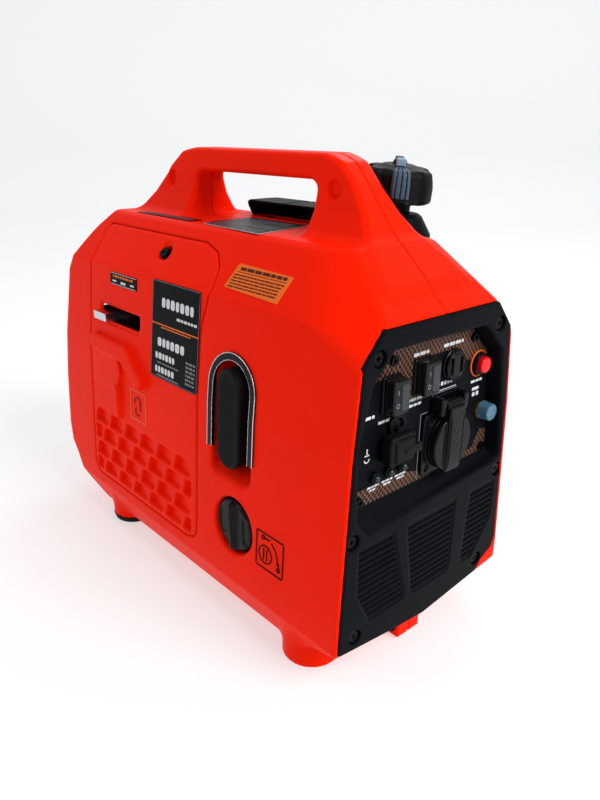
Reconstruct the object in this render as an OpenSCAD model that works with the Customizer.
// Portable inverter generator: a suitcase set with a moulded two-shell case, a carry
// handle, a control panel on the front (+X) and the recoil starter on the -Y side.
// Origin: centre of the footprint, on the ground. Millimetres, +Z up.

/* [Case] */
// Overall width of the case across its widest line
case_w = 200; // [194:1:206]
// Height of the flat top above the ground
top_z = 321; // [318:1:324]
// Height of the underside above the ground
floor_z = 12.5; // [11:0.5:14]
// Front plane of the case, where the control panel sits
front_x = 219; // [217:1:220]
// Wall thickness of the moulded case
wall = 2.8; // [2.4:0.1:3.2]

/* [Handle] */
// Height of the top of the carry handle
handle_top_z = 382; // [378:1:386]
// Half thickness of the hand grip across Y
handle_half = 15; // [13:1:17]

/* [Starter] */
// Longest pull of the starter grip that stays on a straight rope
starter_pull = 150; // [100:5:150]
// Radius at which the rope lies on the recoil pulley
pulley_r = 32; // [28:1:36]

/* [Outlet] */
// Radius of the round spring lid of the mains outlet
lid_r = 22.5; // [21:0.5:24]
// Radius of the recess that takes a round mains plug
socket_r = 19.5; // [19.5:0.1:19.8]

/* [Feet] */
// Radius of each foot
foot_r = 23; // [20:1:25]
// Thickness of the rubber pad under each foot
pad_h = 5; // [4:0.5:6]

/* [Hidden] */

// Colours
red = "#e0260e";
black = "#24272b";
rubber_black = "#17181a";
steel = "#b9bcc0";
alloy = "#9a9da1";

half_w = case_w / 2;
rear_x = -231;
fold_y = 50;               // half width of the flat top
shoulder_z = 275;          // height of the shoulder fold
shoulder_y = half_w - 17.5;
belt_z = 60;               // height of the widest line
big = 600;                 // longer than the whole set

// Side outline of the case (X, Z)
case_side = [
    [-150, floor_z], [-224, 55], [rear_x, 85], [rear_x, 145], [-226, 200], [-216, 268],
    [-155, top_z], [170, top_z], [front_x, 279], [front_x, floor_z]];
// Half of the cross section of the case (Y, Z), mirrored in use
case_half_section = [
    [0, top_z], [fold_y, top_z], [shoulder_y, shoulder_z], [half_w - 8, 190], [half_w, belt_z],
    [half_w, 40], [half_w - 10, floor_z], [0, floor_z]];
// Three corners of the facet between the shoulder and the panel
facet_a = [front_x, 63.3, 278.8];
facet_b = [front_x, 83.5, 256.7];
facet_c = [172, 84, 275];
// Three corners of the sloping underside behind the panel
chin_a = [front_x, 0, 28.4];
chin_b = [front_x, 98, 38.5];
chin_c = [150, 98, floor_z];

function unit(v) = v / norm(v);

// Removes everything beyond a plane through p whose outward normal is n
module beyond(p, n) {
    translate(p)
        rotate([0, acos(n.z), atan2(n.y, n.x)])
            translate([-big / 2, -big / 2, 0])
                cube([big, big, big]);
}

// Extrudes a child drawn in (X, Z) from y0 to y1
module along_y(y0, y1) {
    translate([0, y1, 0])
        rotate([90, 0, 0])
            linear_extrude(y1 - y0)
                children();
}

// Extrudes a child drawn in (Y, Z) from x0 to x1
module along_x(x0, x1) {
    translate([x0, 0, 0])
        rotate([90, 0, 90])
            linear_extrude(x1 - x0)
                children();
}

module rounded(r) {
    offset(r = r, $fn = 24)
        offset(delta = -r)
            children();
}

module case_plan(inset) {
    offset(delta = -inset)
        hull() {
            for (side = [-1, 1]) {
                translate([rear_x + 30, side * (half_w - 30)])
                    circle(r = 30, $fn = 48);
                translate([front_x - 1, side * (half_w - 3)])
                    square([2, 2], center = true);
                translate([203, side * (half_w - 1)])
                    square([2, 2], center = true);
            }
        }
}

// The case as one solid, all its faces moved inwards by inset
module case_body(inset) {
    facet_n = unit(cross(facet_b - facet_a, facet_c - facet_a));
    chin_n = unit(cross(chin_c - chin_a, chin_b - chin_a));
    difference() {
        intersection() {
            along_y(-half_w - 1, half_w + 1)
                offset(delta = -inset)
                    rounded(8)
                        polygon(case_side);
            along_x(-big / 2, big / 2)
                offset(delta = -inset)
                    rounded(7)
                        union() {
                            polygon(case_half_section);
                            mirror([1, 0])
                                polygon(case_half_section);
                        }
            linear_extrude(handle_top_z)
                case_plan(inset);
        }
        for (side = [0, 1])
            mirror([0, side, 0]) {
                beyond(facet_a - inset * facet_n * sign(facet_n.x), facet_n * sign(facet_n.x));
                beyond(chin_a + [0, 0, inset], -chin_n * sign(chin_n.z));
            }
    }
}

// Outline of the control panel (Y, Z); the lower corner on the tank side is cut off
module panel_outline(inset) {
    offset(delta = -inset)
        rounded(3)
            polygon([
                [-63.3, 278.5], [-83, 257], [-89.5, 192], [-97.8, 60], [-98.2, 38.8],
                [-36, 31.5], [0, 28.6], [71.4, 36.5], [77.5, 44.4], [93.2, 52.4], [97.4, 62],
                [89.5, 192], [83, 257], [63.3, 278.5]]);
}

/* ---- handle ---- */

// Outer outline of the handle (X, Z)
module handle_outline() {
    rounded(14)
        polygon([
            [-150, 290], [-150, 314], [-104, 364], [-84, 377], [-62, handle_top_z],
            [108, handle_top_z], [126, 375], [139, 361], [170, 323], [198, 298], [198, 290]]);
}

window_rear = -58;         // ends of the opening for the hand
window_front = 100;
grip_depth = 21;           // height of the hand grip above the opening

module handle_window() {
    rounded(9)
        polygon([
            [window_rear, 300], [window_rear, handle_top_z - grip_depth],
            [window_front, handle_top_z - grip_depth], [window_front + 2, 300]]);
}

handle_screw_x = [-99, 120];
handle_screw_z = [354.5, 357];

// Cross section of the handle (Y, Z), drawn larger by grow
module handle_section(grow) {
    offset(delta = grow)
        rounded(6)
            polygon([
                [-40, 290], [-36, 311], [-25, 325], [-handle_half - 4, 340],
                [-handle_half, 356], [-handle_half + 1, handle_top_z],
                [handle_half - 1, handle_top_z], [handle_half, 356],
                [handle_half + 4, 340], [25, 325], [36, 311], [40, 290]]);
}

module handle_solid() {
    difference() {
        intersection() {
            along_y(-50, 50)
                handle_outline();
            along_x(-200, 215)
                handle_section(0);
        }
        along_y(-60, 60)
            handle_window();
        case_body(wall);
        // scooped wells for the screws that hold the two halves together
        for (i = [0, 1])
            translate([handle_screw_x[i], 0, handle_screw_z[i]])
                rotate([90, 0, 0]) {
                    translate([0, 0, 9])
                        cylinder(h = 40, r = 7, $fn = 32);
                    translate([0, 0, -60])
                        cylinder(h = 120, r = 2.1, $fn = 24);
                }
    }
}

/* ---- openings on the starter side, seen along Y (X, Z) ---- */

arch_x = 89;               // centre line of the starter recess
arch_r = 30;               // outer radius of the arch trim
arch_top_z = 238;
arch_foot_z = 154;
trim_w = 6.5;              // width of the arch trim seen from the side
recess_bottom_z = 122;
recess_floor_y = -52;      // depth of the starter recess
knob_x = 94.5;
knob_z = 92.5;
knob_r = 23.5;
slot_x0 = -127;
slot_x1 = -56;
slot_z0 = 222;
slot_z1 = 236;
cover_screw_x = -37;
cover_screw_z = 296;

// Outline of the recess behind the starter grip, drawn larger by grow
module recess_outline(grow) {
    half = arch_r - trim_w + 0.5 + grow;
    foot = 18 + grow;
    translate([arch_x, arch_top_z - arch_r])
        circle(r = half, $fn = 72);
    translate([arch_x, recess_bottom_z + 18])
        circle(r = foot, $fn = 64);
    translate([arch_x, 0])
        polygon([
            [-half, arch_top_z - arch_r], [-half, arch_foot_z], [-foot, recess_bottom_z + 18],
            [foot, recess_bottom_z + 18], [half, arch_foot_z], [half, arch_top_z - arch_r]]);
}

module arch_outline() {
    inner_r = arch_r - trim_w;
    spring_h = arch_top_z - arch_r - arch_foot_z;
    difference() {
        union() {
            translate([arch_x, arch_top_z - arch_r])
                circle(r = arch_r, $fn = 96);
            translate([arch_x - arch_r, arch_foot_z])
                square([2 * arch_r, spring_h]);
        }
        translate([arch_x, arch_top_z - arch_r])
            circle(r = inner_r, $fn = 96);
        translate([arch_x - inner_r, arch_foot_z - 20])
            square([2 * inner_r, spring_h + 20]);
    }
}

// Outline of the maintenance cover (X, Z)
module cover_outline(inset) {
    offset(delta = -inset)
        rounded(7)
            polygon([
                [-150, 309], [16, 309], [36, 304], [47, 294], [51, 280], [49, 268], [43, 250],
                [42, 240], [42, 64], [38, 56], [26, 52], [-141, 52], [-150, 62]]);
}

module side_openings() {
    // starter recess right through the wall
    along_y(-half_w - 5, recess_floor_y - 6)
        recess_outline(0);
    // knob well
    translate([knob_x, -82, knob_z])
        rotate([90, 0, 0])
            cylinder(h = 30, r = knob_r + 2, $fn = 72);
    translate([knob_x, -40, knob_z])
        rotate([90, 0, 0])
            cylinder(h = 60, r = 5.2, $fn = 36);
    // hatch under the maintenance cover
    along_y(-half_w - 5, -30)
        cover_outline(-0.4);
}

// Ledge round the hatch that the maintenance cover rests on
module hatch_ledge() {
    intersection() {
        difference() {
            case_body(wall - 0.2);
            case_body(wall + 2.2);
        }
        along_y(-half_w - 5, -30)
            difference() {
                cover_outline(-5);
                cover_outline(9);
            }
    }
}

/* ---- feet, screws and lug ---- */

foot_places = [[165, -73], [165, 73], [-122, -73], [-122, 73]];

module feet(side) {
    for (p = foot_places)
        if (p.y * side > 0)
            translate([p.x, p.y, pad_h])
                cylinder(h = 20, r = foot_r - 0.5, $fn = 64);
}

module half_case(side) {
    difference() {
        union() {
            difference() {
                union() {
                    case_body(0);
                    feet(side);
                }
                case_body(wall);
                along_x(front_x - 12, front_x + 5)
                    panel_outline(1.2);
                // rear opening for the louvred cover
                along_x(rear_x - 5, rear_x + 30)
                    rear_cover_outline(6);
                // well for the filler and the top cover
                top_well();
            }
            handle_solid();
            // lug under the panel where the two halves are screwed together
            along_y(-13, 14)
                polygon([[193, 2], [206, 2], [210, 30], [189, 30], [189, 8]]);
        }
        translate([-big / 2, side > 0 ? -big : 0, -1])
            cube([big, big, big]);
        translate([199, 0, 10])
            rotate([90, 0, 0])
                cylinder(h = 60, r = 2.1, center = true, $fn = 24);
        if (side < 0)
            side_openings();
        feet_screws();
        panel_screw_holes();
        rear_screw_holes();
    }
}

module feet_screws() {
    for (p = foot_places)
        translate([p.x, p.y, 0])
            cylinder(h = 30, r = 2.1, $fn = 24);
}

module starter_side_shell() {
    color(red)
        difference() {
            union() {
                half_case(-1);
                starter_bowl();
                knob_cup();
                hatch_ledge();
            }
            translate([arch_x, 0, grip_z])
                rotate([90, 0, 0])
                    cylinder(h = 90, r = 6, $fn = 36);
        }
}

// Walls and floor of the starter recess
module starter_bowl() {
    intersection() {
        difference() {
            along_y(-half_w - 4, recess_floor_y)
                recess_outline(2.2);
            along_y(-half_w - 5, recess_floor_y - 2.2)
                recess_outline(0);
        }
        case_body(1.2);
    }
}

// Cup that the engine knob turns in
module knob_cup() {
    intersection() {
        translate([knob_x, -79.5, knob_z])
            rotate([90, 0, 0])
                difference() {
                    cylinder(h = 20, r = knob_r + 4, $fn = 72);
                    translate([0, 0, 2.5])
                        cylinder(h = 30, r = knob_r + 2, $fn = 72);
                    translate([0, 0, -1])
                        cylinder(h = 30, r = 5.2, $fn = 36);
                }
        case_body(1.2);
    }
}

module tank_side_shell() {
    color(red)
        half_case(1);
}

module pan_screw(h, r_head) {
    difference() {
        union() {
            cylinder(h = 2.4, r = r_head, $fn = 32);
            translate([0, 0, -h])
                cylinder(h = h + 0.1, r = 2, $fn = 24);
        }
        translate([0, 0, 1.2]) {
            cube([r_head * 1.1, 1.1, 3], center = true);
            cube([1.1, r_head * 1.1, 3], center = true);
        }
    }
}

module case_screws() {
    color(steel) {
        for (i = [0, 1])
            translate([handle_screw_x[i], -9, handle_screw_z[i]])
                rotate([90, 0, 0])
                    pan_screw(17, 4.2);
        translate([199, -13, 10])
            rotate([90, 0, 0])
                pan_screw(20, 3.8);
        for (p = rear_screw_places)
            translate([p.x + rear_head_sink, p.y, p.z])
                rotate([0, -90, 0])
                    pan_screw(12, 4);
    }
}

/* ---- maintenance cover ---- */

module maintenance_cover() {
    color(red)
        difference() {
            union() {
                // skin, flush with the case
                intersection() {
                    difference() {
                        case_body(0);
                        case_body(wall - 0.5);
                    }
                    along_y(-half_w - 6, -20)
                        cover_outline(0);
                }
                // rim that drops through the ledge
                intersection() {
                    difference() {
                        case_body(1);
                        case_body(7);
                    }
                    along_y(-half_w - 6, -30)
                        difference() {
                            cover_outline(9.5);
                            cover_outline(12);
                        }
                }
                // raised air duct below the choke slot
                intersection() {
                    difference() {
                        case_body(-5);
                        case_body(1);
                    }
                    along_y(-half_w - 9, -60)
                        rounded(4)
                            polygon([[-134, 206], [-72, 204], [-42, 178], [-54, 170], [-134, 176]]);
                }
                // drain spout
                translate([-93, -94.3, 130])
                    cylinder(h = 34, r = 5.5, $fn = 32);
                // boss for the captive screw
                at_cover_screw()
                    translate([0, 0, -9])
                        cylinder(h = 8, r = 6.8, $fn = 40);
            }
            along_y(-half_w - 12, -20)
                rounded(3)
                    translate([slot_x0, slot_z0])
                        square([slot_x1 - slot_x0, slot_z1 - slot_z0]);
            cover_screw_bore();
        }
}

cover_screw_axis = [51, 0, 0];   // turns +Z to the outward normal of the upper chamfer

module at_cover_screw() {
    translate([cover_screw_x, -68, cover_screw_z])
        rotate(cover_screw_axis)
            children();
}

module cover_screw_bore() {
    at_cover_screw() {
        translate([0, 0, -30])
            cylinder(h = 40, r = 2.6, $fn = 32);
        translate([0, 0, -3.5])
            cylinder(h = 20, r = 6.2, $fn = 40);
    }
}

module cover_screw() {
    color(steel)
        at_cover_screw()
            difference() {
                union() {
                    translate([0, 0, -3.4])
                        cylinder(h = 3, r = 5, $fn = 36);
                    translate([0, 0, -14])
                        cylinder(h = 11, r = 2.5, $fn = 32);
                }
                translate([0, 0, -0.6]) {
                    cube([7, 1.2, 2.4], center = true);
                    cube([1.2, 7, 2.4], center = true);
                }
            }
}

/* ---- starter ---- */

grip_z = 184;
grip_tilt = 4;

module starter_trim() {
    color(black)
        intersection() {
            difference() {
                case_body(-1.4);
                case_body(-0.02);
            }
            along_y(-half_w - 4, -80)
                arch_outline();
        }
}

module at_grip() {
    translate([arch_x - 1, -76, grip_z])
        rotate([0, grip_tilt, 0])
            children();
}

module starter_grip() {
    color(rubber_black)
        difference() {
            at_grip()
                rotate([90, 0, 0])
                    difference() {
                        union() {
                            linear_extrude(17, $fn = 48)
                                hull() {
                                    translate([0, 31])
                                        circle(r = 14);
                                    translate([0, -31])
                                        circle(r = 14);
                                }
                            translate([0, 0, 17])
                                linear_extrude(3, $fn = 48)
                                    hull() {
                                        translate([0, 31])
                                            circle(r = 11.5);
                                        translate([0, -31])
                                            circle(r = 11.5);
                                    }
                        }
                        // finger hollow on the back
                        for (z = [-23, 23])
                            translate([0, z, -1])
                                cylinder(h = 7, r = 9, $fn = 40);
                    }
            translate([arch_x, -40, grip_z])
                rotate([90, 0, 0])
                    cylinder(h = 44, r = 2.6, $fn = 32);
        }
}

rope_len = starter_pull + 16;

module starter_rope() {
    color("#2b2d30")
        translate([arch_x, -84 + rope_len, grip_z])
            rotate([90, 0, 0])
                cylinder(h = rope_len, r = 2.5, $fn = 32);
}

module rope_eyelet() {
    color(steel)
        translate([arch_x, recess_floor_y + 1, grip_z])
            rotate([90, 0, 0])
                difference() {
                    union() {
                        cylinder(h = 5, r = 6, $fn = 36);
                        translate([0, 0, 3.3])
                            cylinder(h = 1.7, r = 8, $fn = 36);
                    }
                    translate([0, 0, -1])
                        cylinder(h = 8, r = 2.9, $fn = 36);
                }
}

module recoil_housing() {
    color(black)
        translate([0, -66, crank_z])
            rotate([90, 0, 0])
                union() {
                    difference() {
                        cylinder(h = 20, r = 58, $fn = 96);
                        translate([0, 0, -1])
                            cylinder(h = 18, r = 55, $fn = 96);
                        for (k = [0:11])
                            rotate(k * 30)
                                translate([42, 0, 0])
                                    cylinder(h = 40, r = 5, $fn = 24);
                    }
                    cylinder(h = 18, r = 6, $fn = 36);
                }
}

module recoil_pulley() {
    color(alloy)
        translate([0, -67, crank_z])
            rotate([90, 0, 0])
                difference() {
                    union() {
                        cylinder(h = 3, r = pulley_r + 5, $fn = 72);
                        cylinder(h = 10, r = pulley_r, $fn = 72);
                        translate([0, 0, 9])
                            cylinder(h = 3, r = pulley_r + 5, $fn = 72);
                    }
                    for (k = [0:5])
                        rotate(k * 60)
                            translate([20, 0, -1])
                                cylinder(h = 20, r = 6, $fn = 24);
                    translate([0, 0, -1])
                        cylinder(h = 20, r = 6.05, $fn = 36);
                }
}

/* ---- engine knob and choke ---- */

module engine_knob() {
    color(black)
        translate([knob_x, -84, knob_z])
            rotate([90, 0, 0])
                union() {
                    cylinder(h = 6, r = knob_r, $fn = 72);
                    translate([0, 0, 6])
                        cylinder(h = 7, r1 = knob_r, r2 = knob_r - 4, $fn = 72);
                    translate([0, 0, 6])
                        linear_extrude(9)
                            rounded(3)
                                polygon([[-7, -22], [7, -22], [9, 0], [6, 21], [-6, 21], [-9, 0]]);
                    translate([0, 0, -22])
                        cylinder(h = 23, r = 5, $fn = 36);
                }
}

module choke_lever() {
    color(steel) {
        translate([slot_x0 + 3, -97.5, 225])
            cube([24, 28, 7.5]);
        translate([slot_x0 + 6, -71, 213])
            cube([8, 3, 13]);
        translate([slot_x0 + 6, -71, 209])
            cube([40, 3, 5]);
    }
}

/* ---- control panel ---- */

plate_x = 206;             // front face of the control plate
plate_corners = [
    [-52, 259], [50, 259], [73, 236], [83, 190], [85, 146], [-75, 146], [-80, 200], [-72, 240]];
panel_screw_places = [
    [-67.7, 260.5], [67.7, 260.5], [-86, 131.5], [86, 131.5], [-80, 48], [70, 50]];
plate_screw_places = [[-40, 251], [53, 250], [-69, 152], [77, 152]];
plate_t = 2.4;
ledge_w = 5;               // seat of the control plate round the opening behind it
louvre_z0 = 58;
louvre_z1 = 122;
louvre_pitch = 5.2;
louvre_slit = 2.6;
// The three fields of air slits (Y, Z)
louvre_fields = [
    [[-79, louvre_z1], [-44, louvre_z1], [-27, louvre_z0], [-66, louvre_z0], [-79, 84]],
    [[-27, louvre_z1], [30, louvre_z1], [28, louvre_z0], [-17, louvre_z0]],
    [[52, louvre_z1], [83, louvre_z1], [83, 88], [60, louvre_z0], [47, louvre_z0]]];

module control_outline(inset) {
    offset(delta = -inset)
        rounded(5)
            polygon(plate_corners);
}

module front_panel() {
    color(black)
        difference() {
            union() {
                along_x(front_x - 4, front_x + 0.5)
                    panel_outline(1.5);
                along_x(plate_x - 5, front_x - 3)
                    difference() {
                        control_outline(-4);
                        control_outline(-1);
                    }
                along_x(plate_x - 5, plate_x - plate_t - 0.1)
                    difference() {
                        control_outline(-3);
                        control_outline(ledge_w);
                    }
                for (p = plate_screw_places)
                    at_plate(p.x, p.y)
                        translate([0, 0, -9])
                            cylinder(h = 9 - plate_t - 0.1, r = 4.5, $fn = 32);
                intersection() {
                    along_x(front_x - 10, front_x)
                        panel_outline(1.8);
                    for (p = panel_screw_places)
                        translate([front_x - 9, p.x, p.y])
                            rotate([0, 90, 0])
                                cylinder(h = 6, r = 8, $fn = 36);
                }
            }
            along_x(plate_x - plate_t - 0.1, front_x + 5)
                control_outline(-1);
            // room for the barrel of the push button
            at_plate(reset_y, reset_z)
                cylinder(h = 30, r = reset_r + 1.8, center = true, $fn = 36);
            for (p = plate_screw_places)
                at_plate(p.x, p.y)
                    cylinder(h = 30, r = 2.1, center = true, $fn = 24);
            for (p = panel_screw_places)
                translate([front_x, p.x, p.y])
                    rotate([0, 90, 0]) {
                        translate([0, 0, -4])
                            cylinder(h = 8, r = 6, $fn = 36);
                        translate([0, 0, -20])
                            cylinder(h = 30, r = 2.1, $fn = 24);
                    }
            along_x(front_x - 8, front_x + 8)
                intersection() {
                    union()
                        for (field = louvre_fields)
                            polygon(field);
                    union()
                        for (z = [louvre_z0:louvre_pitch:louvre_z1 - louvre_slit])
                            translate([-100, z])
                                square([200, louvre_slit]);
                }
        }
}

module panel_screw_holes() {
    for (p = panel_screw_places)
        translate([front_x - 20, p.x, p.y])
            rotate([0, 90, 0])
                cylinder(h = 12, r = 2.1, $fn = 24);
}

module panel_screws() {
    color(steel)
        for (p = panel_screw_places)
            translate([front_x - 4, p.x, p.y])
                rotate([0, 90, 0])
                    pan_screw(8, 4.5);
}

eco_y = -41;
eco_z = 227;
output_y = -8;
output_z = 233;
switch_w = 17.5;
switch_h = 26;
parallel_y = 28;
parallel_z = 233.7;
reset_y = 62.5;
reset_z = 227;
outlet_y = 21.5;
outlet_z = 175;
usb_y = -38;
usb_z = 188;
ground_y = 68.5;
ground_z = 187.5;
lamp_places = [[-54, 166.5], [-39, 166.5], [-24.5, 166.5]];

module at_plate(y, z) {
    translate([plate_x, y, z])
        rotate([90, 0, 90])
            children();
}

module control_plate() {
    color("#2a2f35")
        difference() {
            along_x(plate_x - plate_t, plate_x)
                control_outline(0);
            for (s = [[eco_y, eco_z], [output_y, output_z]])
                at_plate(s.x, s.y)
                    cube([switch_w - 3, switch_h - 3, 20], center = true);
            at_plate(parallel_y, parallel_z)
                cylinder(h = 20, r = 10.2, center = true, $fn = 48);
            at_plate(reset_y, reset_z)
                cylinder(h = 20, r = reset_r + 1.5, center = true, $fn = 36);
            at_plate(outlet_y, outlet_z)
                cylinder(h = 20, r = 22, center = true, $fn = 72);
            at_plate(usb_y, usb_z - usb_drop)
                cube([22, 16, 20], center = true);
            at_plate(ground_y, ground_z)
                cylinder(h = 20, r = 4.1, center = true, $fn = 36);
            for (p = lamp_places)
                at_plate(p.x, p.y)
                    cylinder(h = 20, r = 3.1, center = true, $fn = 32);
            for (p = plate_screw_places)
                at_plate(p.x, p.y)
                    cylinder(h = 20, r = 2.1, center = true, $fn = 24);
        }
}

module plate_screws() {
    color(steel)
        for (p = plate_screw_places)
            at_plate(p.x, p.y)
                pan_screw(7, 3.6);
}

module switch_frame(y, z) {
    at_plate(y, z)
        difference() {
            union() {
                linear_extrude(4)
                    rounded(2)
                        square([switch_w, switch_h], center = true);
                translate([0, 0, -9])
                    cube([switch_w - 4, switch_h - 4, 20], center = true);
            }
            translate([0, 0, -2])
                cube([rocker_w + 0.8, switch_h - 6, 20], center = true);
        }
}

rocker_tilt = 10;
rocker_w = 10.4;
boot_h = 11;               // how far a rain boot stands out from the plate

// Paddle turned about a level pin; its lower half stands out at rest
module rocker(y, z) {
    at_plate(y, z)
        translate([0, 0, -2])
            rotate([90 - rocker_tilt, 0, 0])
                rotate([0, 90, 0])
                    translate([0, 0, -rocker_w / 2])
                        linear_extrude(rocker_w)
                            polygon([[-3, -3], [3, -3], [8.6, 7.5], [0, 5.6], [-8.6, 7.5]]);
}

// Clear rain boot over a rocker
module rain_boot(y, z) {
    at_plate(y, z)
        difference() {
            translate([0, 0, 4])
                linear_extrude(boot_h - 4)
                    rounded(2.5)
                        square([switch_w - 1, switch_h - 2], center = true);
            translate([0, 0, 3])
                linear_extrude(boot_h - 4.2)
                    square([switch_w - 3.6, switch_h - 4.6], center = true);
        }
}

module eco_switch() {
    color(black)
        switch_frame(eco_y, eco_z);
}

module eco_rocker() {
    color("#101214")
        rocker(eco_y, eco_z);
}

module eco_boot() {
    color("#8f9aa4", 0.45)
        rain_boot(eco_y, eco_z);
}

module output_switch() {
    color(black)
        switch_frame(output_y, output_z);
}

module output_rocker() {
    color("#101214")
        rocker(output_y, output_z);
}

module output_boot() {
    color("#8f9aa4", 0.45)
        rain_boot(output_y, output_z);
}

module parallel_socket() {
    color(black)
        at_plate(parallel_y, parallel_z)
            difference() {
                union() {
                    cylinder(h = 2, r = 12.6, $fn = 64);
                    cylinder(h = 5, r = 11.6, $fn = 64);
                    translate([0, 0, -14])
                        cylinder(h = 15, r = 10, $fn = 48);
                }
                for (s = [-1, 1])
                    translate([s * 5.5, 0, 0])
                        cube([2.4, 12, 20], center = true);
            }
}

reset_r = 6.6;             // the push button and its bore

module reset_collar() {
    color(black)
        at_plate(reset_y, reset_z)
            difference() {
                union() {
                    cylinder(h = 1.2, r = 10.6, $fn = 64);
                    cylinder(h = 4.5, r = 8.8, $fn = 48);
                    translate([0, 0, -10])
                        cylinder(h = 11, r = reset_r + 1.3, $fn = 36);
                }
                translate([0, 0, -8])
                    cylinder(h = 20, r = reset_r + 0.08, $fn = 40);
            }
}

module reset_button() {
    color("#d0102a")
        at_plate(reset_y, reset_z)
            union() {
                translate([0, 0, -4])
                    cylinder(h = 11, r = reset_r, $fn = 40);
                translate([0, 0, 7])
                    cylinder(h = 1.6, r1 = reset_r, r2 = reset_r - 2, $fn = 40);
            }
}

lid_hinge_z = outlet_z + 31;
lid_hinge_x = plate_x + 8;
lid_seat = 6.6;            // height of the collar that the lid closes on
lid_t = 5;
well_depth = 18;           // how far a plug goes in

module ac_outlet() {
    color("#1f2226")
        difference() {
            union() {
                along_x(plate_x, plate_x + 3)
                    rounded(4)
                        translate([outlet_y - 25, outlet_z - 25])
                            square([50, 50]);
                at_plate(outlet_y, outlet_z)
                    cylinder(h = lid_seat, r = lid_r - 0.7, $fn = 96);
                at_plate(outlet_y, outlet_z)
                    translate([0, 0, -26])
                        cylinder(h = 27, r = 21.5, $fn = 72);
                // two ears that carry the lid
                for (s = [-1, 1])
                    along_y(outlet_y + s * 14 - 2, outlet_y + s * 14 + 2)
                        hull() {
                            translate([lid_hinge_x, lid_hinge_z])
                                circle(r = 4.4, $fn = 32);
                            translate([plate_x + 1, lid_hinge_z - 1])
                                square([2, 14], center = true);
                        }
            }
            at_plate(outlet_y, outlet_z)
                translate([0, 0, lid_seat - well_depth])
                    cylinder(h = 40, r = socket_r, $fn = 96);
            for (s = [-1, 1])
                at_plate(outlet_y + s * 9.5, outlet_z)
                    cylinder(h = 60, r = 2.4, center = true, $fn = 24);
            translate([lid_hinge_x, outlet_y, lid_hinge_z])
                rotate([90, 0, 0])
                    cylinder(h = 40, r = 1.6, center = true, $fn = 24);
        }
}

module ac_lid() {
    color("#26282c") {
        difference() {
            union() {
                at_plate(outlet_y, outlet_z)
                    translate([0, 0, lid_seat + 0.4])
                        cylinder(h = lid_t, r = lid_r, $fn = 96);
                at_plate(outlet_y, outlet_z)
                    translate([0, 0, lid_seat + 1])
                        intersection() {
                            cylinder(h = lid_t + 2.4, r = lid_r, $fn = 96);
                            cube([19, 60, 20], center = true);
                        }
                along_y(outlet_y - 9.5, outlet_y + 9.5)
                    hull() {
                        translate([lid_hinge_x, lid_hinge_z])
                            circle(r = 4.2, $fn = 32);
                        translate([plate_x + lid_seat + 0.4, outlet_z + 14])
                            square([7.6, 4]);
                    }
            }
            at_plate(outlet_y, outlet_z)
                translate([0, 0, lid_seat - 5])
                    cylinder(h = 5.4, r = lid_r + 1.5, $fn = 72);
        }
        translate([lid_hinge_x, outlet_y, lid_hinge_z])
            rotate([90, 0, 0])
                cylinder(h = 33, r = 1.55, center = true, $fn = 24);
    }
}

usb_drop = 2.6;            // how far the outlet sits below the middle of its cap
tether_r = 8.2;

module usb_outlet() {
    color(black)
        at_plate(usb_y, usb_z - usb_drop)
            difference() {
                union() {
                    linear_extrude(3)
                        rounded(2.5)
                            square([25, 16], center = true);
                    translate([0, 0, -9])
                        cube([21, 15, 20], center = true);
                }
                translate([0, 3, 0])
                    cube([13.5, 5.5, 16], center = true);
                translate([0, -4, 0])
                    cube([9.5, 4.6, 16], center = true);
            }
}

module usb_cap() {
    color(rubber_black)
        at_plate(usb_y, usb_z) {
            difference() {
                translate([0, 0, 3.4])
                    linear_extrude(9.8)
                        rounded(4)
                            square([27, 22.5], center = true);
                translate([0, -usb_drop, 2])
                    linear_extrude(6)
                        rounded(2)
                            square([20, 14], center = true);
            }
            // lug of the tether strap
            translate([0.5, 11, 4])
                cube([8, 2.5, 3]);
        }
}

// Ring round a post on the plate, with the strap that the cap hangs from
module usb_tether_ring() {
    color(rubber_black)
        at_plate(usb_y + 4.5, usb_z + 14.2)
            union() {
                difference() {
                    cylinder(h = 3, r = tether_r, $fn = 48);
                    translate([0, 0, -1])
                        cylinder(h = 6, r = tether_r - 3, $fn = 40);
                }
                cylinder(h = 2.6, r = tether_r - 4.2, $fn = 36);
                translate([-tether_r + 1, -1.6, 0])
                    cube([2 * tether_r - 2, 3.2, 1.2]);
            }
}

module indicator_lamps() {
    color("#cfd8dc")
        for (p = lamp_places)
            at_plate(p.x, p.y)
                union() {
                    translate([0, 0, -6])
                        cylinder(h = 9, r = 3, $fn = 32);
                    translate([0, 0, 3])
                        intersection() {
                            sphere(r = 3, $fn = 32);
                            cylinder(h = 4, r = 3, $fn = 32);
                        }
                }
}

module ground_terminal() {
    color("#c8a24a")
        at_plate(ground_y, ground_z)
            union() {
                cylinder(h = 3, r = 7.6, $fn = 6);
                translate([0, 0, -8])
                    cylinder(h = 19, r = 3.9, $fn = 36);
            }
}

module terminal_cap() {
    color("#9fc4dd", 0.5)
        at_plate(ground_y, ground_z)
            difference() {
                translate([0, 0, 3.3])
                    cylinder(h = 10.4, r = 7.5, $fn = 48);
                translate([0, 0, 3])
                    cylinder(h = 9, r = 5.5, $fn = 36);
            }
}

/* ---- rear ---- */

module rear_cover_outline(inset) {
    offset(delta = -inset)
        rounded(12)
            polygon([[-62, 90], [62, 90], [62, 215], [50, 232], [-50, 232], [-62, 215]]);
}

module rear_cover() {
    color(black)
        difference() {
            intersection() {
                difference() {
                    case_body(0.4);
                    case_body(4);
                }
                along_x(rear_x - 5, rear_x + 30)
                    rear_cover_outline(6.4);
            }
            for (z = [104:9:214])
                translate([rear_x - 5, -44, z])
                    cube([40, 88, 4]);
            rear_screw_holes();
        }
}

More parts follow.
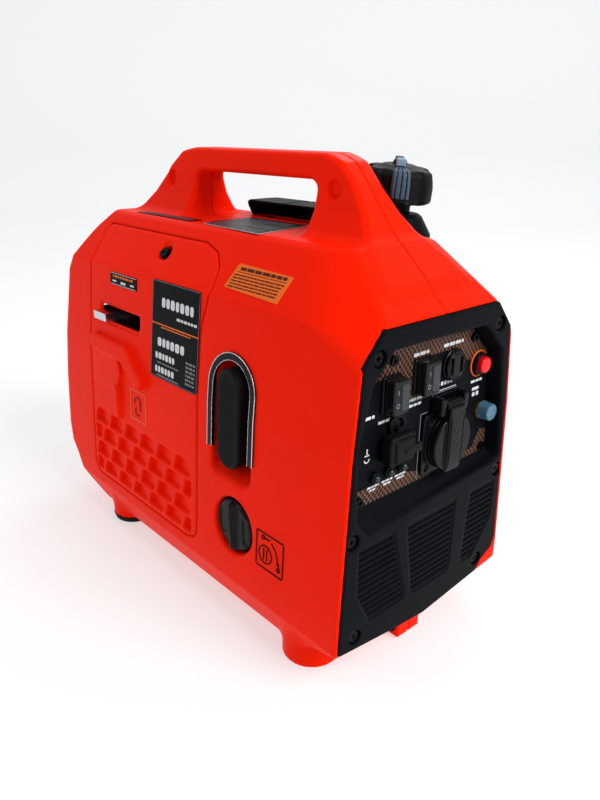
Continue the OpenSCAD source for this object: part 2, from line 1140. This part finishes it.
rear_screw_places = [[-231, -51.5, 102], [-231, 51.5, 102], [-222.8, -46, 222], [-222.8, 46, 222]];
rear_head_sink = 3.2;      // how far the seat of a rear screw head lies below the surface

module rear_screw_holes() {
    for (p = rear_screw_places)
        translate([p.x - 10, p.y, p.z])
            rotate([0, 90, 0]) {
                cylinder(h = 40, r = 2.1, $fn = 24);
                cylinder(h = 10 + rear_head_sink, r = 4.6, $fn = 36);
            }
}

module foot_pads() {
    color(rubber_black)
        for (p = foot_places)
            translate([p.x, p.y, 0])
                difference() {
                    cylinder(h = pad_h, r1 = foot_r - 1.5, r2 = foot_r, $fn = 72);
                    translate([0, 0, -1])
                        cylinder(h = pad_h + 2, r = 2.5, $fn = 24);
                }
}

/* ---- filler, cap and tank ---- */

cap_x = 124;
cap_y = 48;                // beside the handle, on the tank side
cap_tilt = 7;              // the filler leans forward
cap_r = 28.5;
cap_base_z = 345;
neck_r = 16;               // mouth of the filler, inside the cap
stem_r = 12.8;             // pipe below the mouth
boss_r = 29.4;             // foot of the boss that the filler stands in
cover_h = 14;              // height of the top cover
cover_t = 2.5;

module at_cap() {
    translate([cap_x, cap_y, cap_base_z])
        rotate([0, cap_tilt, 0])
            children();
}

module top_cover_outline(grow) {
    offset(delta = grow)
        rounded(9)
            translate([-38, 20])
                square([150, 42]);
}

// Opening in the top under the black cover, for the filler and the wiring
module top_well() {
    translate([0, 0, 285])
        linear_extrude(60) {
            translate([-28, 27])
                square([140, 22]);
            translate([cap_x, cap_y])
                circle(r = stem_r + 4, $fn = 64);
        }
}

// The boss round the filler: its foot follows the shoulder of the case
module filler_boss(inset) {
    translate([cap_x, cap_y, 285 - inset])
        cylinder(h = top_z - 284.8, r = boss_r - inset, $fn = 96);
    translate([cap_x, cap_y, top_z + 0.2 - inset])
        cylinder(h = cover_h, r1 = boss_r - inset, r2 = boss_r - inset - 8, $fn = 96);
}

module top_cover() {
    color(black)
        difference() {
            union() {
                translate([0, 0, top_z - 0.2])
                    linear_extrude(cover_h + 0.4)
                        top_cover_outline(0);
                filler_boss(0);
            }
            translate([0, 0, top_z - 1])
                linear_extrude(cover_h + 1.2 - cover_t)
                    top_cover_outline(-cover_t);
            filler_boss(cover_t);
            // it stands on the case and against the foot of the handle
            case_body(-0.2);
            along_x(-60, 215)
                handle_section(0.6);
            at_cap()
                translate([0, 0, -70])
                    cylinder(h = 90, r = stem_r + 0.5, $fn = 72);
            // score line across the cover
            translate([14, 0, top_z + cover_h - 1.2])
                cube([2, 120, 30]);
        }
}

module filler_neck() {
    color(black)
        at_cap()
            difference() {
                union() {
                    translate([0, 0, -56])
                        cylinder(h = 60, r = stem_r, $fn = 64);
                    translate([0, 0, 1])
                        cylinder(h = 9, r = neck_r, $fn = 72);
                }
                translate([0, 0, -60])
                    cylinder(h = 80, r = stem_r - 2, $fn = 64);
            }
}

module fuel_cap() {
    color(black)
        at_cap()
            difference() {
                union() {
                    translate([0, 0, 0.5])
                        cylinder(h = 21.5, r = cap_r - 2, $fn = 72);
                    // finger grips round the rim
                    for (k = [0:17])
                        rotate(k * 20)
                            translate([cap_r - 3, -1.5, 1.5])
                                cube([3, 3, 19]);
                    translate([0, 0, 21])
                        cylinder(h = 6, r1 = cap_r - 3, r2 = 15, $fn = 72);
                }
                translate([0, 0, -0.5])
                    cylinder(h = 15.5, r = neck_r + 5, $fn = 72);
                translate([0, 0, 24])
                    cylinder(h = 8, r = 5.6, $fn = 36);
            }
}

module cap_seal() {
    color("#3a3d40")
        at_cap()
            translate([0, 0, 10.2])
                difference() {
                    cylinder(h = 4.4, r = neck_r + 2, $fn = 72);
                    translate([0, 0, -1])
                        cylinder(h = 8, r = stem_r - 1, $fn = 48);
                }
}

module vent_knob() {
    color(black)
        at_cap()
            union() {
                translate([0, 0, 24.2])
                    cylinder(h = 5, r = 5.3, $fn = 36);
                translate([-10, -3, 27.6])
                    cube([20, 6, 4.4]);
            }
}

module fuel_tank() {
    color("#2d3034")
        difference() {
            intersection() {
                translate([-60, -20, 238])
                    linear_extrude(62)
                        rounded(14)
                            square([222, 98]);
                case_body(wall + 3);
            }
            intersection() {
                translate([-57, -17, 241])
                    linear_extrude(56)
                        rounded(12)
                            square([216, 92]);
                case_body(wall + 6);
            }
            at_cap()
                translate([0, 0, -60])
                    cylinder(h = 80, r = stem_r + 0.2, $fn = 72);
            translate([-54, -5, 246])
                rotate([0, 90, 0])
                    cylinder(h = 30, r = 3.1, center = true, $fn = 24);
        }
}

/* ---- engine ---- */

crank_z = 112;
bank = 35;                 // the cylinder leans this far to the rear
piston_top = 78;

module at_bank() {
    translate([0, 0, crank_z])
        rotate([0, -bank, 0])
            children();
}

module crankcase() {
    color(alloy)
        difference() {
            union() {
                translate([0, 32, crank_z])
                    rotate([90, 0, 0])
                        cylinder(h = 54, r = 40, $fn = 72);
                translate([-46, -22, 40])
                    cube([92, 54, 50]);
                at_bank()
                    translate([-24, -22, 20])
                        cube([48, 54, 20]);
            }
            translate([0, 28, crank_z])
                rotate([90, 0, 0])
                    cylinder(h = 46, r = 34, $fn = 72);
            translate([0, 60, crank_z])
                rotate([90, 0, 0])
                    cylinder(h = 120, r = 9.05, $fn = 48);
            at_bank()
                translate([0, 5, 10])
                    cylinder(h = 60, r = 19.6, $fn = 64);
        }
}

module cylinder_node() {
    color(alloy)
    at_bank()
        translate([0, 5, 0])
            difference() {
                union() {
                    translate([0, 0, 40.2])
                        cylinder(h = 40, r = 22, $fn = 64);
                    for (k = [0:6])
                        translate([0, 0, 42 + k * 5.5])
                            linear_extrude(2)
                                rounded(6)
                                    square([62, 56], center = true);
                }
                translate([0, 0, 20])
                    cylinder(h = 90, r = 19.5, $fn = 64);
            }
}

module cylinder_head() {
    color(alloy)
        at_bank()
            translate([0, 5, 80.4])
                difference() {
                    union() {
                        linear_extrude(16)
                            rounded(6)
                                square([54, 50], center = true);
                        for (k = [0:2])
                            translate([0, 0, 2 + k * 5.5])
                                linear_extrude(2)
                                    rounded(6)
                                        square([64, 58], center = true);
                    }
                    translate([0, 0, -1])
                        cylinder(h = 5, r = 19.5, $fn = 64);
                    translate([-20, 0, 6])
                        rotate([0, 90, 0])
                            cylinder(h = 40, r = 5.1, center = true, $fn = 32);
                }
}

module valve_cover() {
    color(black)
        at_bank()
            translate([0, 5, 96.6])
                difference() {
                    linear_extrude(16)
                        rounded(8)
                            square([50, 46], center = true);
                    translate([0, 0, -1])
                        linear_extrude(14)
                            rounded(6)
                                square([45, 41], center = true);
                }
}

module spark_plug() {
    color("#e8e4da")
        at_bank()
            translate([-56, 5, 86.4])
                rotate([0, 90, 0])
                    union() {
                        translate([0, 0, 10])
                            cylinder(h = 10, r = 8, $fn = 6);
                        translate([0, 0, 19])
                            cylinder(h = 18, r = 5, $fn = 32);
                        translate([0, 0, -6])
                            cylinder(h = 17, r = 4, $fn = 32);
                    }
}

module plug_cap() {
    color(rubber_black)
        at_bank()
            translate([-56, 5, 86.4])
                rotate([0, 90, 0])
                    difference() {
                        union() {
                            translate([0, 0, -12])
                                cylinder(h = 20, r = 8, $fn = 36);
                            translate([0, 0, -4])
                                rotate([90, 0, 0])
                                    cylinder(h = 26, r = 4.5, $fn = 32);
                        }
                        translate([0, 0, -7])
                            cylinder(h = 20, r = 4.2, $fn = 32);
                    }
}

module piston() {
    color(steel)
        at_bank()
            translate([0, 5, piston_top - 26])
                difference() {
                    cylinder(h = 26, r = 19.4, $fn = 64);
                    translate([0, 0, -1])
                        cylinder(h = 21, r = 16, $fn = 48);
                }
}

module connecting_rod() {
    color(alloy)
        at_bank()
            translate([0, 5, 0])
                rotate([90, 0, 0])
                    difference() {
                        translate([0, 0, -3])
                            linear_extrude(6)
                                union() {
                                    translate([0, 18])
                                        circle(r = 10, $fn = 48);
                                    translate([0, 62])
                                        circle(r = 7, $fn = 40);
                                    translate([-4, 18])
                                        square([8, 44]);
                                }
                        for (p = [[18, 7.4], [62, 3.5]])
                            translate([0, p[0], -5])
                                cylinder(h = 10, r = p[1], $fn = 36);
                    }
}

module crankshaft() {
    color(steel)
        translate([0, 0, crank_z])
            rotate([90, 0, 0])
                union() {
                    translate([0, 0, -44])
                        cylinder(h = 20, r = 9, $fn = 48);
                    translate([0, 0, -25])
                        cylinder(h = 14, r = 30, $fn = 64);
                    translate([0, 0, 1])
                        cylinder(h = 12, r = 30, $fn = 64);
                    translate([0, 0, 12])
                        cylinder(h = 50, r = 9, $fn = 48);
                    // core that joins the two webs, clear of the rod's big end
                    translate([0, 0, -12])
                        cylinder(h = 14, r = 6, $fn = 36);
                }
}

module flywheel_fan() {
    color("#3b3f45")
        translate([0, -46, crank_z])
            rotate([90, 0, 0])
                difference() {
                    union() {
                        cylinder(h = 4, r = 50, $fn = 72);
                        cylinder(h = 14, r = 16, $fn = 48);
                        for (k = [0:11])
                            rotate(k * 30)
                                translate([26, -1, 3])
                                    cube([22, 2.4, 11]);
                    }
                    translate([0, 0, -1])
                        cylinder(h = 20, r = 9, $fn = 48);
                }
}

module rotor() {
    color("#4a4e55")
        translate([0, -24, crank_z])
            rotate([90, 0, 0])
                difference() {
                    cylinder(h = 21.5, r = 48, $fn = 72);
                    translate([0, 0, -1])
                        cylinder(h = 19, r = 44, $fn = 72);
                    translate([0, 0, -5])
                        cylinder(h = 40, r = 9, $fn = 48);
                }
}

module stator() {
    color("#a5602b")
        translate([0, -22.2, crank_z])
            rotate([90, 0, 0])
                difference() {
                    union() {
                        cylinder(h = 16, r = 24, $fn = 64);
                        for (k = [0:11])
                            rotate(k * 30)
                                translate([20, -4, 2])
                                    cube([23, 8, 13]);
                    }
                    translate([0, 0, -1])
                        cylinder(h = 20, r = 13, $fn = 48);
                }
}

module muffler() {
    color("#6b6460")
        difference() {
            union() {
                translate([-205, -48, 98])
                    linear_extrude(112)
                        rounded(14)
                            square([52, 96]);
                // pipe from the exhaust port
                translate([-155, 20, 176])
                    rotate([0, 90, 0])
                        cylinder(h = 62, r = 9, $fn = 40);
                translate([-211, 20, 190])
                    rotate([0, 90, 0])
                        cylinder(h = 10, r = 8, $fn = 40);
            }
            translate([-202.5, -45.5, 100.5])
                linear_extrude(107)
                    rounded(12)
                        square([47, 91]);
            translate([-160, 20, 176])
                rotate([0, 90, 0])
                    cylinder(h = 70, r = 7, $fn = 40);
            translate([-215, 20, 190])
                rotate([0, 90, 0])
                    cylinder(h = 20, r = 6, $fn = 40);
        }
}

module carburettor() {
    color(alloy)
        union() {
            translate([-82, -64, 186])
                cube([34, 30, 34]);
            translate([-70, -49, 174.2])
                cylinder(h = 13, r = 9, $fn = 48);
            translate([-62, -35, 198])
                rotate([-90, 0, 0])
                    cylinder(h = 10.8, r = 9, $fn = 40);
        }
}

module air_cleaner() {
    color(black)
        translate([-114, -78, 88])
            difference() {
                linear_extrude(86)
                    rounded(8)
                        square([52, 42]);
                translate([2.5, 2.5, 2.5])
                    linear_extrude(81)
                        rounded(6)
                            square([47, 37]);
            }
}

module inverter_module() {
    color(alloy)
        union() {
            translate([128, -70, 56])
                cube([14, 140, 84]);
            for (k = [0:13])
                translate([141, -66 + k * 10, 56])
                    cube([18, 3, 84]);
        }
}

module engine_mounts() {
    color(rubber_black)
        for (x = [-34, 34])
            for (y = [-12, 22])
                translate([x, y, floor_z + wall])
                    cylinder(h = 40 - floor_z - wall, r = 9, $fn = 40);
}

// Centre line of the hose from the tank's tap to the carburettor (X, Y, Z)
hose_route = [
    [-58, -5, 246], [-65, -5, 246], [-71, -8, 245], [-74, -14, 243], [-75, -22, 240],
    [-75, -30, 236.5], [-74, -38, 232.5], [-71, -44, 228.5], [-68, -47.5, 224.5],
    [-66, -49, 220.2]];
hose_r = 3;
hose_sides = 10;

function hose_dir(i) = unit(
    hose_route[min(i + 1, len(hose_route) - 1)] - hose_route[max(i - 1, 0)]);
function hose_side(d) = unit(cross(d, [0, 0.2, 1]));
function hose_ring(i) =
    let (d = hose_dir(i), a = hose_side(d), b = cross(d, a))
    [for (k = [0:hose_sides - 1])
        hose_route[i] + hose_r * (cos(k * 360 / hose_sides) * a + sin(k * 360 / hose_sides) * b)];

module fuel_hose() {
    last = len(hose_route) - 1;
    color(rubber_black)
        polyhedron(
            points = [for (i = [0:last]) each hose_ring(i)],
            faces = concat(
                [[for (k = [0:hose_sides - 1]) k]],
                [for (i = [0:last - 1]) for (k = [0:hose_sides - 1])
                    let (n = (k + 1) % hose_sides, s = i * hose_sides)
                    [s + k, s + hose_sides + k, s + hose_sides + n, s + n]],
                [[for (k = [hose_sides - 1:-1:0]) last * hose_sides + k]]));
}

// The set reaches from the bulge of the rear wall to the band of the outlet lid
lid_reach = 15;            // how far that band stands out from the control plate
origin_shift = -(rear_x + plate_x + lid_reach) / 2;

// Puts the finished set with its origin halfway along it
module centred() {
    translate([origin_shift, 0, 0])
        children();
}

centred() starter_side_shell();
centred() tank_side_shell();
centred() case_screws();
centred() maintenance_cover();
centred() cover_screw();
centred() starter_trim();
centred() starter_grip();
centred() starter_rope();
centred() rope_eyelet();
centred() engine_knob();
centred() choke_lever();
centred() front_panel();
centred() control_plate();
centred() panel_screws();
centred() plate_screws();
centred() eco_switch();
centred() eco_rocker();
centred() eco_boot();
centred() output_switch();
centred() output_rocker();
centred() output_boot();
centred() parallel_socket();
centred() reset_collar();
centred() reset_button();
centred() ac_outlet();
centred() ac_lid();
centred() usb_outlet();
centred() usb_cap();
centred() usb_tether_ring();
centred() indicator_lamps();
centred() ground_terminal();
centred() terminal_cap();
centred() rear_cover();
centred() foot_pads();
centred() fuel_cap();
centred() cap_seal();
centred() vent_knob();
centred() filler_neck();
centred() top_cover();
centred() fuel_tank();
centred() fuel_hose();
centred() crankcase();
centred() cylinder_node();  // cylinder
centred() cylinder_head();
centred() valve_cover();
centred() spark_plug();
centred() plug_cap();
centred() piston();
centred() connecting_rod();
centred() crankshaft();
centred() flywheel_fan();
centred() rotor();
centred() stator();
centred() recoil_housing();
centred() recoil_pulley();
centred() muffler();
centred() carburettor();
centred() air_cleaner();
centred() inverter_module();
centred() engine_mounts();
